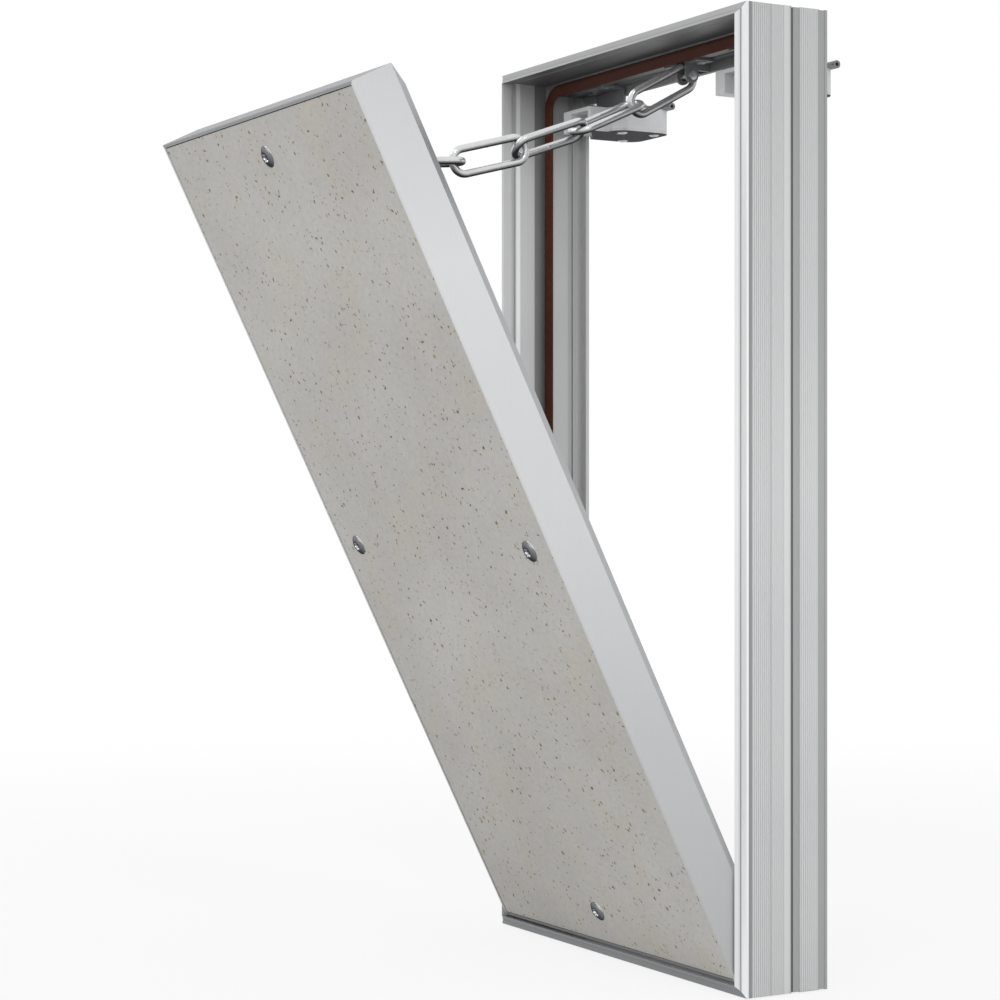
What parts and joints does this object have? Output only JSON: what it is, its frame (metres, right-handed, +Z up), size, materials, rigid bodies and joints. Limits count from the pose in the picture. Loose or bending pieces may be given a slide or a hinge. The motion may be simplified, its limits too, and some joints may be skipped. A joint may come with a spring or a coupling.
{
  "type": "tile access panel",
  "caption": "Upright aluminium wall frame with a tilting cement-faced leaf hung on a short link chain, and push latches behind the top edge.",
  "frame": {"origin": "middle of the frame's underside, on the centre line of its width and depth", "axes": "+X along the width, +Y into the wall, +Z up along the height"},
  "size_m": [0.2, 0.2382, 0.4],
  "materials": {
    "frame_aluminium": "satin anodised extrusion with fine ribs",
    "key_zinc": "mill finish",
    "gasket_rubber": "matt dark brown",
    "leaf_aluminium": "smooth satin anodised",
    "board_cement": "matt grey cement board with small specks",
    "screw_steel": "bright zinc plated",
    "chain_steel": "polished",
    "sheet_steel": "zinc plated sheet",
    "pin_steel": "plain steel",
    "rivet_aluminium": "mill finish",
    "latch_plastic": "light grey moulding",
    "cover_steel": "plain steel sheet",
    "plunger_plastic": "off-white moulding"
  },
  "bodies": {
    "frame": {"top_rail": "frame_aluminium", "bottom_rail": "frame_aluminium", "left_jamb": "frame_aluminium", "right_jamb": "frame_aluminium", "frame_corner_keys": "key_zinc", "gasket": "gasket_rubber", "pivot_pins": "pin_steel", "chain_hanger": "sheet_steel", "hanger_bar": "chain_steel", "hanger_rivets": "rivet_aluminium", "latch_housing_left": "latch_plastic", "latch_housing_right": "latch_plastic", "latch_cover_left": "cover_steel", "latch_cover_right": "cover_steel", "latch_rivets": "rivet_aluminium", "latch_bracket_left": "sheet_steel", "latch_bracket_right": "sheet_steel", "bracket_rivets": "rivet_aluminium", "latch_screws": "screw_steel"},
    "leaf": {"leaf_top_profile": "leaf_aluminium", "leaf_bottom_profile": "leaf_aluminium", "leaf_left_profile": "leaf_aluminium", "leaf_right_profile": "leaf_aluminium", "leaf_corner_keys": "key_zinc", "facing_board": "board_cement", "board_screws": "screw_steel", "strikers": "pin_steel", "leaf_bail": "chain_steel", "bail_screws": "screw_steel"},
    "chain_link_1": {"chain_link_1": "chain_steel"},
    "chain_link_2": {"chain_link_2": "chain_steel"},
    "chain_link_3": {"chain_link_3": "chain_steel"},
    "chain_link_4": {"chain_link_4": "chain_steel"},
    "chain_link_5": {"chain_link_5": "chain_steel"},
    "latch_plunger_left": {"latch_plunger_left": "plunger_plastic"},
    "latch_plunger_right": {"latch_plunger_right": "plunger_plastic"},
    "latch_catch_left": {"latch_catch_left": "pin_steel"},
    "latch_catch_right": {"latch_catch_right": "pin_steel"}
  },
  "joints": [
    {"name": "leaf_tilt", "type": "hinge", "parent": "frame", "child": "leaf", "pos_m": [0, -0.0208, 0.009], "axis": [1, 0, 0], "range_deg": [-26.2, 0]},
    {"name": "chain_turn_1", "type": "hinge", "parent": "frame", "child": "chain_link_1", "pos_m": [0.014, 0.0086, 0.38485], "axis": [1, 0, 0], "range_deg": [0, 110.4]},
    {"name": "chain_turn_2", "type": "hinge", "parent": "chain_link_1", "child": "chain_link_2", "pos_m": [0.014, -0.01662, 0.37116], "axis": [1, 0, 0], "range_deg": [-61.9, 0]},
    {"name": "chain_turn_3", "type": "hinge", "parent": "chain_link_2", "child": "chain_link_3", "pos_m": [0.014, -0.04672, 0.35775], "axis": [1, 0, 0], "range_deg": [0, 4]},
    {"name": "chain_turn_4", "type": "hinge", "parent": "chain_link_3", "child": "chain_link_4", "pos_m": [0.014, -0.07778, 0.34675], "axis": [1, 0, 0], "range_deg": [-129, 0]},
    {"name": "chain_turn_5", "type": "hinge", "parent": "chain_link_4", "child": "chain_link_5", "pos_m": [0.014, -0.10392, 0.33999], "axis": [1, 0, 0], "range_deg": [-52.7, 0]},
    {"name": "plunger_push_left", "type": "slide", "parent": "frame", "child": "latch_plunger_left", "axis": [0, 1, 0], "range_m": [0, 0.005], "stiffness_N_per_m": 400, "springref_m": -0.003},
    {"name": "catch_turn_left", "type": "hinge", "parent": "frame", "child": "latch_catch_left", "pos_m": [-0.0643, 0.022, 0.3776], "axis": [0, 0, -1], "range_deg": [0, 6]},
    {"name": "plunger_push_right", "type": "slide", "parent": "frame", "child": "latch_plunger_right", "axis": [0, 1, 0], "range_m": [0, 0.005], "stiffness_N_per_m": 400, "springref_m": -0.003},
    {"name": "catch_turn_right", "type": "hinge", "parent": "frame", "child": "latch_catch_right", "pos_m": [0.0623, 0.022, 0.3776], "axis": [0, 0, -1], "range_deg": [0, 6]}
  ],
  "couplings": [
    {"joint": "chain_turn_1", "follows": "leaf_tilt", "ratio": -4.21},
    {"joint": "chain_turn_2", "follows": "leaf_tilt", "ratio": 2.36},
    {"joint": "chain_turn_3", "follows": "leaf_tilt", "ratio": -0.15},
    {"joint": "chain_turn_4", "follows": "leaf_tilt", "ratio": 4.92},
    {"joint": "chain_turn_5", "follows": "leaf_tilt", "ratio": 2.01}
  ]
}
